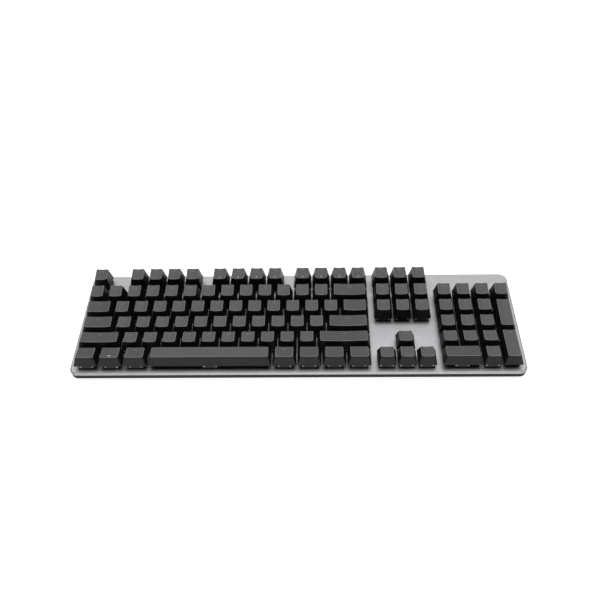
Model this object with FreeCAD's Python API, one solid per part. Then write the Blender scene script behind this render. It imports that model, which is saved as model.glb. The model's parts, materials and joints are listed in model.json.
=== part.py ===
"""A full-size mechanical keyboard of 104 keys: an aluminium plate on a black tray, and caps standing clear.

Everything on the plate is modelled flat, in the plate's own frame: X to the right from the middle, Y to the
back from the front edge of the front row, Z up from the plate's top face. to_rest() then tilts it onto the tray's
level base.
Sizes are in millimetres.
"""

import FreeCAD, Part
import math
import os
from FreeCAD import Vector

# ---- driving dimensions ----
UNIT = 19.05  # from one key to the next
BOARD_UNITS = 22.5  # width of the key field
FUNCTION_GAP = 3.6  # extra space in front of the function row
TRAVEL = 4.0  # of every key
TILT = 4.0  # degrees, of the plate above the desk

SIDE_MARGIN, FRONT_MARGIN, BACK_MARGIN = 4.8, 4.4, 5.7  # plate past the key field
CORNER_R = 8.0
PLATE_T = 1.5
CHAMFER_IN, CHAMFER_DOWN = 1.5, 0.75  # along the plate's top face and down its edge

BOARD_TOP = -5.0  # circuit board's upper face
BOARD_T = 1.6
BAND = 5.3  # height of the tray's upright rim
RIM_SETBACK = 0.3  # tray inside the plate's outline
GROOVE_DEPTH, GROOVE_HEIGHT = 0.7, 0.9  # the step under the plate
BASE_FRONT = -11.2  # height of the tray's underside below the front row's edge
BASE_INSET_FRONT, BASE_INSET_SIDE, BASE_INSET_BACK = 4.9, 4.9, 3.0
WALL, FLOOR = 2.2, 2.0
PAD_STAND = 1.5  # rubber below the tray

SWITCH_HOLE = 14.0
SWITCH_BODY = 13.9
FLANGE, FLANGE_T = 15.6, 1.0
SWITCH_TOP = 6.6
CAP_BASE = 5.8  # the cap's lower edge above the plate
CAP_GAP = 0.5  # cap inside its cell, each side
CAP_WALL, CAP_ROOF = 1.2, 2.2
POST_ROOF = 1.2  # top of the posts below the cap's lowest top edge
TOP_INSET_SIDE, TOP_INSET_FRONT, TOP_INSET_BACK = 2.65, 4.1, 1.15  # cap's top face inside its base
DISH = 0.7  # depth of the hollow in a cap's top
POST_R = 2.7
CROSS_LONG, CROSS_WIDE = 4.1, 1.2
CROSS_TALL = 3.5  # above the slider's block
SLIDER_LOW = 1.4  # the slider's shoulders above the plate, with the key up
SPRING_R, SPRING_WIRE_R = 1.8, 0.14
SWITCH_FLOOR = BOARD_TOP + 1.0  # inside the switch base
SWITCH_CAVITY = 11.9
FIXED_PIN, MOVING_PIN = (-3.8, -2.5), (2.5, -5.1)  # of a switch's contacts, from its middle
LAMP_Y = 4.75  # behind the switch's middle
CLIP_X, CLIP_Y = 5.6, 6.3  # clips of the switch top, from its middle

STAB_REACH_SHORT, STAB_REACH_SPACE = 11.9, 50.0  # stabiliser stems from the switch
STAB_STEM_WIDTH, STAB_STEM_DEPTH, STAB_STEM_LOW = 4.2, 5.6, -0.6
STAB_HOLE = (7.2, 13.2)
WIRE_R = 0.7
WIRE_OFFSET, WIRE_Z = 9.4, 0.95  # stabiliser wire behind the stems and above the plate

# ---- the rows of keys, from the front ----
# Each has a name, its distance back in units, the height of its top faces' front and back edges, and its keys.
# A key is name:width in units, "-" is a gap, and ^ marks a key two rows deep whose front half is in this row.
ROWS = [
    ("bottom", 0, 15.4, 13.8, "left_control:1.25 left_meta:1.25 left_alt:1.25 space:6.25 right_alt:1.25 fn:1.25"
     " menu:1.25 right_control:1.25 -:.25 left down right -:.25 pad_0:2 pad_point pad_enter^"),
    ("shift", 1, 15.1, 14.0, "left_shift:2.25 z x c v b n m comma period slash right_shift:2.75 -:1.25 up -:1.25"
     " pad_1 pad_2 pad_3"),
    ("home", 2, 14.7, 15.0, "caps_lock:1.75 a s d f g h j k l semicolon apostrophe enter:2.25 -:3.5"
     " pad_4 pad_5 pad_6 pad_plus^"),
    ("upper", 3, 15.6, 16.6, "tab:1.5 q w e r t y u i o p left_bracket right_bracket backslash:1.5 -:.25"
     " delete end page_down -:.25 pad_7 pad_8 pad_9"),
    ("number", 4, 17.3, 19.2, "grave 1 2 3 4 5 6 7 8 9 0 minus equals backspace:2 -:.25 insert home page_up -:.25"
     " num_lock divide multiply subtract"),
    ("function", 5, 17.6, 19.8, "escape -:1 f1 f2 f3 f4 -:.5 f5 f6 f7 f8 -:.5 f9 f10 f11 f12 -:.25"
     " print scroll pause"),
]
TALL_TOP = {"pad_enter": (15.4, 14.4), "pad_plus": (14.8, 15.8)}

# Keys that share a node. Every other key is a node of its own.
GROUPS = {
    "function_keys_1_to_4": "f1 f2 f3 f4",
    "function_keys_5_to_8": "f5 f6 f7 f8",
    "function_keys_9_to_12": "f9 f10 f11 f12",
    "number_row_keys": "grave 1 2 3 4 5 6 7 8 9 0 minus equals",
    "punctuation_keys": "left_bracket right_bracket backslash semicolon apostrophe comma period slash",
    "modifier_keys": "tab caps_lock left_control left_meta left_alt right_alt fn menu right_control",
    "navigation_keys": "print scroll pause insert home page_up delete end page_down",
    "arrow_keys": "left down right up",
    "keypad_keys": "num_lock divide multiply subtract pad_7 pad_8 pad_9 pad_4 pad_5 pad_6 pad_1 pad_2 pad_3"
                   " pad_point",
}
NODE_NAMES = {"space": "spacebar", "pad_0": "keypad_zero_key", "pad_plus": "keypad_plus_key",
              "pad_enter": "keypad_enter_key", "backspace": "backspace_key", "enter": "enter_key",
              "left_shift": "left_shift_key", "right_shift": "right_shift_key", "escape": "escape_key"}
STABILISED = ["space", "backspace", "enter", "left_shift", "right_shift", "pad_0", "pad_plus", "pad_enter"]

BUSH_X_BACK = (-204.0, -123.0, -42.0, 42.0, 133.0, 204.0)  # screw bushes behind the number row
BUSH_X_FRONT = (-157.0, -80.0, 0.0, 80.0, 133.0)  # and behind the front row
BUSH_R, SCREW_R = 2.2, 1.0
BUSH_END, SCREW_END = -7.0, -2.4
SCREW_HEAD_R, SCREW_HEAD_T, SCREW_SINK = 2.1, 1.4, 2.2

PAD_X, PAD_WIDTH, PAD_DEPTH, PAD_SINK = 188.0, 42.0, 8.0, 0.7
PAD_Y = (-50.0, 50.0)
FOOT_X = 150.0  # middle of each fold-out foot
FOOT_WIDTH, FOOT_LENGTH, FOOT_T = 24.0, 15.0, 3.0
FOOT_AXIS_Y, FOOT_AXIS_UP = 46.0, 3.0  # hinge, from the middle and above the underside
FOOT_BARREL_R, FOOT_PIN_R, FOOT_PIN = 2.4, 1.2, 1.6
FOOT_RIBS, RIB_STEP, RIB_WIDTH, RIB_PROUD = 5, 4.0, 1.0, 0.5
POCKET_GAP, POCKET_DEPTH, POCKET_BLOCK = 0.5, 5.8, 8.2

SOCKET_X = -9.5  # between two switches of the function row
SOCKET_Z = BOARD_TOP - BOARD_T - 1.7  # middle of the socket, in the plate's frame
SOCKET_WIDTH, SOCKET_HEIGHT, SOCKET_LENGTH, SOCKET_SHEET = 8.9, 3.2, 8.0, 0.3
SOCKET_BACK = 0.6  # its mouth in front of the key field's back edge
TONGUE_WIDTH, TONGUE_HEIGHT = 6.7, 0.7
INLET_WIDTH, INLET_HEIGHT, INLET_CORNER = 13.0, 7.4, 1.0  # window of the case around the plug's grip
CHIP_X, CHIP_Y, CHIP_SIZE, CHIP_T, CHIP_LEGS, LEG_STEP = 45.0, 3 * UNIT, 7.0, 1.0, 9, 0.6

FIELD_X = BOARD_UNITS * UNIT / 2
FIELD_Y = 6 * UNIT + FUNCTION_GAP
PLATE_X = FIELD_X + SIDE_MARGIN
BAND_END = -PLATE_T - BAND
SIN, COS = math.sin(math.radians(TILT)), math.cos(math.radians(TILT))


# ---- small shapes ----
def block(x0, x1, y0, y1, z0, z1):
    return Part.makeBox(x1 - x0, y1 - y0, z1 - z0, Vector(x0, y0, z0))


def slab(width, depth, z0, z1, x=0.0, y=0.0):
    """A box centred on x, y."""
    return block(x - width / 2, x + width / 2, y - depth / 2, y + depth / 2, z0, z1)


def rod(r, z0, z1, x=0.0, y=0.0):
    return Part.makeCylinder(r, z1 - z0, Vector(x, y, z0))


def fused(shapes):
    return shapes[0].multiFuse(shapes[1:]).removeSplitter()


def solid_of(lower, upper):
    """The flat-faced solid between two four-cornered outlines, given in the same order."""
    n = len(lower)
    sides = [[lower[i], lower[(i + 1) % n], upper[(i + 1) % n], upper[i]] for i in range(n)]
    faces = [Part.Face(Part.makePolygon(side + side[:1])) for side in [lower, upper, *sides]]
    made = Part.Solid(Part.Shell(faces))
    return made if made.Volume > 0 else made.reversed()


def at(shape, x, y):
    """A copy of the shape, moved across the plate."""
    moved = shape.copy()
    moved.translate(Vector(x, y, 0))
    return moved


def rectangle(width, depth, z):
    w, d = width / 2, depth / 2
    return [Vector(-w, -d, z), Vector(w, -d, z), Vector(w, d, z), Vector(-w, d, z)]


def rounded_outline(x, y0, y1, r, z=0.0):
    """A rectangle from -x to x and y0 to y1 with round corners."""
    c = r * (1 - math.sqrt(0.5))
    a = [Vector(-x + r, y0, z), Vector(x - r, y0, z), Vector(x - c, y0 + c, z), Vector(x, y0 + r, z),
         Vector(x, y1 - r, z), Vector(x - c, y1 - c, z), Vector(x - r, y1, z), Vector(-x + r, y1, z),
         Vector(-x + c, y1 - c, z), Vector(-x, y1 - r, z), Vector(-x, y0 + r, z), Vector(-x + c, y0 + c, z)]
    edges = [Part.makeLine(a[0], a[1]), Part.Arc(a[1], a[2], a[3]).toShape(), Part.makeLine(a[3], a[4]),
             Part.Arc(a[4], a[5], a[6]).toShape(), Part.makeLine(a[6], a[7]),
             Part.Arc(a[7], a[8], a[9]).toShape(), Part.makeLine(a[9], a[10]),
             Part.Arc(a[10], a[11], a[0]).toShape()]
    return Part.Wire(edges)


def pierced(outline, holes, z0, z1):
    """A sheet of that outline and those holes, between two heights."""
    face = Part.makeFace([outline, *holes], "Part::FaceMakerCheese")
    face.translate(Vector(0, 0, z0))
    return face.extrude(Vector(0, 0, z1 - z0))


def square_hole(x, y, width, depth):
    w, d = width / 2, depth / 2
    points = [Vector(x - w, y - d, 0), Vector(x - w, y + d, 0), Vector(x + w, y + d, 0), Vector(x + w, y - d, 0)]
    return Part.makePolygon(points + points[:1])


def round_hole(x, y, r):
    return Part.Wire(Part.makeCircle(r, Vector(x, y, 0)))


# ---- where the keys are ----
class Key:
    def __init__(self, name, row, x0, y0, width, depth, top):
        self.name, self.row = name, row
        self.width, self.depth = width * UNIT, depth * UNIT
        self.x, self.y = x0 + self.width / 2, y0 + self.depth / 2
        self.top_front, self.top_back = top
        self.node = next((n for n, members in GROUPS.items() if name in members.split()), None)
        self.node = self.node or NODE_NAMES.get(name, f"key_{name}")
        self.reach = 0.0
        if name in STABILISED:
            self.reach = STAB_REACH_SPACE if name == "space" else STAB_REACH_SHORT

    def stems(self):
        """Where its stems are: the switch's, and a stabiliser's on each side."""
        along = (0, 1) if self.depth > UNIT else (1, 0)
        steps = (-self.reach, 0, self.reach) if self.reach else (0,)
        return [(self.x + along[0] * s, self.y + along[1] * s) for s in steps]


def all_keys():
    keys = []
    for row, back, top_front, top_back, text in ROWS:
        x = -FIELD_X
        y = back * UNIT + (FUNCTION_GAP if row == "function" else 0)
        for word in text.split():
            name, _, width = word.partition(":")
            width = float(width or 1)
            deep = name.endswith("^")
            name = name.rstrip("^")
            if name != "-":
                top = TALL_TOP.get(name, (top_front, top_back))
                keys.append(Key(name, row, x, y, width, 2 if deep else 1, top))
            x += width * UNIT
    return keys


KEYS = all_keys()


# ---- a key: its cap and the slider under it ----
def cap_block(key, wall, roof):
    """The cap's outer form, or with a wall and roof the hollow inside it."""
    w, d = key.width / 2 - CAP_GAP, key.depth / 2 - CAP_GAP
    front, back = key.top_front - CAP_BASE, key.top_back - CAP_BASE
    draft = TOP_INSET_SIDE / ((front + back) / 2)
    lower = [(-w + wall, -d + wall), (w - wall, -d + wall), (w - wall, d - wall), (-w + wall, d - wall)]
    upper = []
    near = (-d + TOP_INSET_FRONT + wall, front - roof)
    far = (d - TOP_INSET_BACK - wall, back - roof)
    for side, (y, z) in ((-1, near), (1, near), (1, far), (-1, far)):
        upper.append(Vector(side * (w - wall - draft * z), y, CAP_BASE + z))
    return solid_of([Vector(x, y, CAP_BASE) for x, y in lower], upper)


def dish_cutter(key):
    """A cylinder that hollows the cap's top from side to side."""
    width = key.width - 2 * (CAP_GAP + TOP_INSET_SIDE)
    r = (width**2 / 4 + DISH**2) / (2 * DISH)
    rise = key.top_back - key.top_front
    run = key.depth - 2 * CAP_GAP - TOP_INSET_FRONT - TOP_INSET_BACK
    along = Vector(0, run, rise).normalize()
    normal = Vector(0, -along.z, along.y)
    front = Vector(0, -key.depth / 2 + CAP_GAP + TOP_INSET_FRONT, key.top_front)
    start = front + normal * (r - DISH) - along * run
    return Part.makeCylinder(r, 3 * run, start, along)


def cross(long, wide, z0, z1):
    return slab(long, wide, z0, z1).fuse(slab(wide, long, z0, z1))


def key_cap(key):
    cap = cap_block(key, 0, 0).cut(cap_block(key, CAP_WALL, CAP_ROOF))
    post_z = SWITCH_TOP + 0.1
    lowest_top = min(key.top_front, key.top_back)
    for x, y in key.stems():
        post = rod(POST_R, post_z, lowest_top - POST_ROOF)
        post = post.cut(cross(CROSS_LONG + 0.1, CROSS_WIDE + 0.1, post_z, post_z + CROSS_TALL + 0.2))
        post.translate(Vector(x - key.x, y - key.y, 0))
        cap = cap.fuse(post)
    if key.name != "space":
        cap = cap.cut(dish_cutter(key))
    return cap.removeSplitter()


def switch_slider():
    """The cross the cap presses onto, its block, the shoulders that hold it in, and the spring's pole."""
    middle, shoulders = slab(7.0, 5.6, SLIDER_LOW, SWITCH_TOP - 0.1), slab(8.2, 4.0, SLIDER_LOW, 5.3)
    pole = rod(1.3, -2.9, SLIDER_LOW + 0.1)
    top = cross(CROSS_LONG, CROSS_WIDE, SWITCH_TOP - 0.2, SWITCH_TOP + CROSS_TALL)
    return fused([middle, shoulders, pole, top])


def stabiliser_slider(turned):
    """A stabiliser's sliding stem, with the tall slot that its wire's end sits in."""
    body = slab(STAB_STEM_WIDTH, STAB_STEM_DEPTH, STAB_STEM_LOW, SWITCH_TOP - 0.1)
    body = body.fuse(cross(CROSS_LONG, CROSS_WIDE, SWITCH_TOP - 0.2, SWITCH_TOP + CROSS_TALL))
    half = WIRE_R + 0.15
    slot = block(-half, half, 1.2, 3, WIRE_Z - half, WIRE_Z + TRAVEL + half)
    return quarter_turned(body.cut(slot).removeSplitter(), turned)


# ---- a switch: base, top, spring, contacts and lamp ----
def switch_base():
    floor = SWITCH_FLOOR
    shell = slab(SWITCH_BODY, SWITCH_BODY, BOARD_TOP, 0.02).fuse(slab(FLANGE, FLANGE, 0, FLANGE_T))
    shell = shell.cut(slab(SWITCH_CAVITY, SWITCH_CAVITY, floor, FLANGE_T))
    shell = fused([shell, rod(3.3, floor - 0.1, floor + 1.25), rod(1.95, BOARD_TOP - 3.2, BOARD_TOP + 0.1)])
    cuts = [rod(2.3, floor, floor + 2), rod(1.5, BOARD_TOP - 2.4, floor + 1),
            slab(3.4, 2.3, BOARD_TOP, floor + 1, 0, LAMP_Y),
            rod(0.6, BOARD_TOP, floor, *FIXED_PIN), rod(0.6, BOARD_TOP, floor, *MOVING_PIN)]
    return shell.cut(Part.makeCompound(cuts)).removeSplitter()


def switch_top():
    shell = solid_of(rectangle(14.8, 14.8, FLANGE_T), rectangle(10.6, 9.0, SWITCH_TOP))
    hollow = solid_of(rectangle(12.8, 12.8, FLANGE_T), rectangle(8.8, 7.2, SWITCH_TOP - 1))
    shell = shell.cut(Part.makeCompound([hollow, slab(7.4, 6.2, SWITCH_TOP - 2, SWITCH_TOP),
                                         block(-1.7, 1.7, 5.2, 7.5, FLANGE_T, 3.6)]))
    clips = [slab(1.6, 1.2, 1.9, 3.1, x, y) for y in (-CLIP_Y, CLIP_Y) for x in (-CLIP_X, CLIP_X)]
    return fused([shell, *clips])


def switch_spring():
    """The coil spring between the base and the slider, as the sleeve that it fills with the key up."""
    low, high = SWITCH_FLOOR + 0.02, SLIDER_LOW - 0.02
    return rod(SPRING_R + SPRING_WIRE_R, low, high).cut(rod(SPRING_R - SPRING_WIRE_R, low, high))


def switch_contacts():
    """The two leaves that meet when the key goes down, each with its pin through the circuit board."""
    low, high, sheet = SWITCH_FLOOR + 0.03, 0.8, 0.25
    pin_end = BOARD_TOP - 2.9
    fixed = fused([slab(3.0, sheet, low, high, -3.7, -4.6), slab(1.0, 2.35, low, low + sheet, -3.8, -3.3),
                   rod(0.5, pin_end, low + 0.1, *FIXED_PIN)])
    moving = fused([slab(4.2, sheet, low, high, *MOVING_PIN), rod(0.5, pin_end, low + 0.1, *MOVING_PIN)])
    return [fixed, moving]


def backlight_led():
    return slab(2.8, 1.8, BOARD_TOP, BOARD_TOP + 0.9, 0, LAMP_Y)


# ---- stabilisers ----
def quarter_turned(shape, turned):
    """The shape, turned where its key is two rows deep."""
    if turned:
        shape.rotate(Vector(0, 0, 0), Vector(0, 0, 1), 90)
    return shape


def stabiliser_housing(turned):
    body = fused([slab(7.0, 13.0, BOARD_TOP + 0.4, 2.5), slab(7.1, 14.2, 0, 0.8)])
    slot = block(-1.0, 1.0, 2, 8, WIRE_Z - 1, WIRE_Z + 1)
    body = body.cut(Part.makeCompound([slab(4.6, 6.2, BOARD_TOP, 4), slot]))
    return quarter_turned(body.removeSplitter(), turned)


def stabiliser_wire(reach, turned):
    """One bent wire: a bar along the key with a leg into each stabiliser stem."""
    bend = 1.6
    leg_end, bar = 1.5, WIRE_OFFSET
    s = bend * (1 - math.sqrt(0.5))
    path = [
        Part.makeLine(Vector(-reach, leg_end, 0), Vector(-reach, bar - bend, 0)),
        Part.Arc(Vector(-reach, bar - bend, 0), Vector(-reach + s, bar - s, 0),
                 Vector(-reach + bend, bar, 0)).toShape(),
        Part.makeLine(Vector(-reach + bend, bar, 0), Vector(reach - bend, bar, 0)),
        Part.Arc(Vector(reach - bend, bar, 0), Vector(reach - s, bar - s, 0),
                 Vector(reach, bar - bend, 0)).toShape(),
        Part.makeLine(Vector(reach, bar - bend, 0), Vector(reach, leg_end, 0)),
    ]
    section = Part.Wire(Part.makeCircle(WIRE_R, Vector(-reach, leg_end, 0), Vector(0, 1, 0)))
    wire = Part.Wire(path).makePipeShell([section], True, True)
    wire.translate(Vector(0, 0, WIRE_Z))
    return quarter_turned(wire, turned)


# ---- plate, board, tray ----
def bush_places():
    back_y = 5 * UNIT + FUNCTION_GAP / 2
    return [(x, back_y) for x in BUSH_X_BACK] + [(x, UNIT) for x in BUSH_X_FRONT]


def chamfered_form():
    """The plate's outer form without its holes: an upright edge, and a sloping chamfer round the top."""
    back = FIELD_Y + BACK_MARGIN

    def outline(inset, z):
        return rounded_outline(PLATE_X - inset, -FRONT_MARGIN + inset, back - inset, CORNER_R - inset, z)

    edge = Part.Face(outline(0, -PLATE_T)).extrude(Vector(0, 0, PLATE_T - CHAMFER_DOWN))
    slope = Part.makeLoft([outline(0, -CHAMFER_DOWN), outline(CHAMFER_IN, 0)], True, True)
    return edge.fuse(slope)


def top_plate():
    """The aluminium plate, with a hole for each switch and stabiliser, a chamfer, and screw bushes below."""
    holes = []
    for key in KEYS:
        stems = key.stems()
        holes.append(square_hole(key.x, key.y, SWITCH_HOLE, SWITCH_HOLE))
        for x, y in (stems[0], stems[-1]) if key.reach else ():
            holes.append(square_hole(x, y, *(STAB_HOLE[::-1] if key.depth > UNIT else STAB_HOLE)))
    outline = rounded_outline(PLATE_X, -FRONT_MARGIN, FIELD_Y + BACK_MARGIN, CORNER_R)
    plate = pierced(outline, holes, -PLATE_T, 0)
    plate = plate.common(chamfered_form())
    bushes = [rod(BUSH_R, BUSH_END, -PLATE_T + 0.1, x, y).cut(rod(SCREW_R + 0.02, BUSH_END, -2.0, x, y))
              for x, y in bush_places()]
    return fused([plate, *bushes])


def circuit_board():
    holes = [round_hole(x, y, BUSH_R + 0.4) for x, y in bush_places()]
    for key in KEYS:
        holes.append(round_hole(key.x, key.y, 2.1))
        holes += [round_hole(key.x + x, key.y + y, 0.7) for x, y in (FIXED_PIN, MOVING_PIN)]
    outline = rounded_outline(FIELD_X + 0.5, 0.8, FIELD_Y - 0.5, 2)
    return pierced(outline, holes, BOARD_TOP - BOARD_T, BOARD_TOP)


def base_height(y):
    """Height of the tray's underside, in the plate's frame."""
    return BASE_FRONT - y * SIN / COS


def on_base(wire, lift):
    """Lays a level outline on the tray's sloping underside, raised by lift."""
    wire.rotate(Vector(0, 0, 0), Vector(1, 0, 0), -TILT)
    wire.translate(Vector(0, 0, BASE_FRONT + lift))
    return wire


def tray_form(inset, lift):
    """The tray's form: an upright rim, and sides drawn in below it. Inset and lift make its hollow."""
    x = PLATE_X - RIM_SETBACK - inset
    y0, y1 = -FRONT_MARGIN + RIM_SETBACK + inset, FIELD_Y + BACK_MARGIN - RIM_SETBACK - inset
    r = max(CORNER_R - RIM_SETBACK - inset, 1.5)
    rim = Part.Face(rounded_outline(x, y0, y1, r, BAND_END)).extrude(Vector(0, 0, BAND))
    foot = rounded_outline(x - BASE_INSET_SIDE, (y0 + BASE_INSET_FRONT) / COS, (y1 - BASE_INSET_BACK) / COS, r)
    lower = Part.makeLoft([rounded_outline(x, y0, y1, r, BAND_END), on_base(foot, lift)], True, True)
    return rim.fuse(lower).removeSplitter()


# ---- from the plate's frame to the keyboard standing level ----
def to_rest(shape):
    moved = shape.copy()
    moved.rotate(Vector(0, 0, 0), Vector(1, 0, 0), TILT)
    moved.translate(Vector(0, CENTRE_SHIFT, LIFT))
    return moved


LIFT = PAD_STAND - BASE_FRONT * COS
# the plate's edge reaches furthest forward and the lower edge of the tray's rim furthest back
FRONT_REACH = -FRONT_MARGIN * COS + CHAMFER_DOWN * SIN
BACK_REACH = (FIELD_Y + BACK_MARGIN - RIM_SETBACK) * COS - BAND_END * SIN
CENTRE_SHIFT = -(FRONT_REACH + BACK_REACH) / 2


def tilt_foot(side):
    """A flap with a barrel and two hinge pins, folded forward into its pocket."""
    x = side * FOOT_X
    w = FOOT_WIDTH / 2
    y, z = FOOT_AXIS_Y, PAD_STAND + FOOT_AXIS_UP
    low = z - FOOT_T / 2
    flap = block(x - w, x + w, y - FOOT_LENGTH, y, low, low + FOOT_T)
    flap = flap.makeFillet(1.2, [e for e in flap.Edges if e.CenterOfMass.y < y - FOOT_LENGTH + 0.01
                                 and abs(e.CenterOfMass.x - x) < 0.01])
    across = Vector(1, 0, 0)
    barrel = Part.makeCylinder(FOOT_BARREL_R, FOOT_WIDTH, Vector(x - w, y, z), across)
    pins = Part.makeCylinder(FOOT_PIN_R, FOOT_WIDTH + 2 * FOOT_PIN, Vector(x - w - FOOT_PIN, y, z), across)
    ribs = []
    for i in range(1, FOOT_RIBS + 1):
        left = x - w + RIB_STEP * i
        ribs.append(block(left, left + RIB_WIDTH, y - FOOT_LENGTH + 2.5, y - 5, low - RIB_PROUD, low + RIB_PROUD))
    return fused([flap, barrel, pins, *ribs])


def foot_pocket(side):
    x = side * FOOT_X
    w = FOOT_WIDTH / 2 + POCKET_GAP
    base = PAD_STAND
    y0, y1 = FOOT_AXIS_Y - FOOT_LENGTH - 3.5, FOOT_AXIS_Y + FOOT_BARREL_R + 0.6
    return block(x - w, x + w, y0, y1, base - 1, base + POCKET_DEPTH)


def foot_block(side):
    """The thicker part of the floor that the pocket is sunk in."""
    x = side * FOOT_X
    w = FOOT_WIDTH / 2 + POCKET_GAP + FOOT_PIN + 1.6
    base = PAD_STAND
    y0, y1 = FOOT_AXIS_Y - FOOT_LENGTH - 5.5, FOOT_AXIS_Y + FOOT_BARREL_R + 2.6
    return block(x - w, x + w, y0, y1, base + 0.5, base + POCKET_BLOCK)


def foot_pin_hole(side):
    x = side * FOOT_X
    half = FOOT_WIDTH / 2 + FOOT_PIN + 0.3
    return Part.makeCylinder(FOOT_PIN_R + 0.06, 2 * half,
                             Vector(x - half, FOOT_AXIS_Y, PAD_STAND + FOOT_AXIS_UP), Vector(1, 0, 0))


def shadow_groove():
    """The shallow step round the rim's top that sets the plate off from the tray."""
    inset = RIM_SETBACK + GROOVE_DEPTH
    back = FIELD_Y + BACK_MARGIN
    inner = rounded_outline(PLATE_X - inset, -FRONT_MARGIN + inset, back - inset, CORNER_R - inset)
    outer = rounded_outline(PLATE_X + 1, -FRONT_MARGIN - 1, back + 1, CORNER_R + 1)
    return pierced(outer, [inner], -PLATE_T - GROOVE_HEIGHT, -PLATE_T)


def inlet():
    """The window in the case's back wall that the plug's grip goes into."""
    w, h = INLET_WIDTH / 2, INLET_HEIGHT / 2
    y0, y1 = FIELD_Y - 6, FIELD_Y + BACK_MARGIN + 1
    window = block(SOCKET_X - w, SOCKET_X + w, y0, y1, SOCKET_Z - h, SOCKET_Z + h)
    return window.makeFillet(INLET_CORNER, [e for e in window.Edges if e.BoundBox.YLength > y1 - y0 - 0.1])


def bottom_case():
    tray = tray_form(0, 0).cut(tray_form(WALL, FLOOR))
    posts = [rod(3.5, base_height(y) + 1, BUSH_END - 0.05, x, y) for x, y in bush_places()]
    tray = to_rest(fused([tray, *posts]).cut(shadow_groove()))
    tray = fused([tray, foot_block(-1), foot_block(1)])
    cuts = [foot_pocket(-1), foot_pocket(1), foot_pin_hole(-1), foot_pin_hole(1)]
    for x, y in bush_places():
        cuts.append(to_rest(rod(SCREW_R + 0.2, base_height(y) - 1, BUSH_END, x, y)))
        cuts.append(to_rest(rod(SCREW_HEAD_R + 0.4, base_height(y) - 1, base_height(y) + SCREW_SINK, x, y)))
    for x in (-PAD_X, PAD_X):
        for y in PAD_Y:
            cuts.append(pad(x, y, 0.15, PAD_STAND, PAD_STAND + PAD_SINK))
    cuts.append(to_rest(inlet()))
    return tray.cut(Part.makeCompound(cuts)).removeSplitter()


def pad(x, y, grow, z0, z1):
    outline = rounded_outline(PAD_WIDTH / 2 + grow, -PAD_DEPTH / 2 - grow, PAD_DEPTH / 2 + grow, 3 + grow, z0)
    made = Part.Face(outline).extrude(Vector(0, 0, z1 - z0))
    made.translate(Vector(x, y, 0))
    return made


def rubber_pads():
    return [pad(x, y, 0, 0, PAD_STAND + PAD_SINK - 0.05) for x in (-PAD_X, PAD_X) for y in PAD_Y]


def case_screws():
    screws = []
    for x, y in bush_places():
        seat = base_height(y) + SCREW_SINK
        low = seat - SCREW_HEAD_T
        head = rod(SCREW_HEAD_R, low, seat - 0.02, x, y).cut(at(cross(2.2, 0.7, low, low + 0.7), x, y))
        screws.append(head.fuse(rod(SCREW_R, seat - 0.1, SCREW_END, x, y)).removeSplitter())
    return screws


def usb_socket():
    """A small reversible socket under the board: a stadium tube with a tongue, open to the back."""
    back = FIELD_Y - SOCKET_BACK
    front = back - SOCKET_LENGTH

    def along_y(shape):
        shape.rotate(Vector(0, 0, 0), Vector(1, 0, 0), -90)
        shape.translate(Vector(SOCKET_X, 0, SOCKET_Z))
        return shape

    def stadium(w, h, y0, y1):
        form = slab(w, h, y0, y1)
        corners = [e for e in form.Edges if e.BoundBox.ZLength > y1 - y0 - 0.1]
        return along_y(form.makeFillet(h / 2 - 0.01, corners))

    hollow_width, hollow_height = SOCKET_WIDTH - 2 * SOCKET_SHEET, SOCKET_HEIGHT - 2 * SOCKET_SHEET
    hollow = stadium(hollow_width, hollow_height, front + 2 * SOCKET_SHEET, back + 1)
    shell = stadium(SOCKET_WIDTH, SOCKET_HEIGHT, front, back).cut(hollow)
    tongue = along_y(slab(TONGUE_WIDTH, TONGUE_HEIGHT, front + SOCKET_SHEET, back - 1.2))
    return shell.fuse(tongue).removeSplitter()


def controller_chip():
    """The controller's square package, under the board between two rows."""
    z = BOARD_TOP - BOARD_T
    body = slab(CHIP_SIZE, CHIP_SIZE, z - CHIP_T, z, CHIP_X, CHIP_Y)
    legs = []
    for i in range(CHIP_LEGS):
        x = CHIP_X + LEG_STEP * (i - (CHIP_LEGS - 1) / 2)
        legs += [slab(0.3, 0.8, z - 0.3, z, x, CHIP_Y + side * (CHIP_SIZE / 2 + 0.35)) for side in (-1, 1)]
    return fused([body, *legs])


# ---- all the nodes ----
def key_nodes():
    """{node: the caps and sliders in it}."""
    nodes, caps = {}, {}
    slider, stab = switch_slider(), {turned: stabiliser_slider(turned) for turned in (False, True)}
    for key in KEYS:
        form = (key.row, key.width, key.depth, bool(key.reach))
        if form not in caps:
            caps[form] = key_cap(key)
        pieces = nodes.setdefault(key.node, [])
        pieces.append(at(caps[form], key.x, key.y))
        stems = key.stems()
        pieces.append(at(slider, key.x, key.y))
        if key.reach:
            pieces += [at(stab[key.depth > UNIT], x, y) for x, y in (stems[0], stems[-1])]
    return nodes


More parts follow.
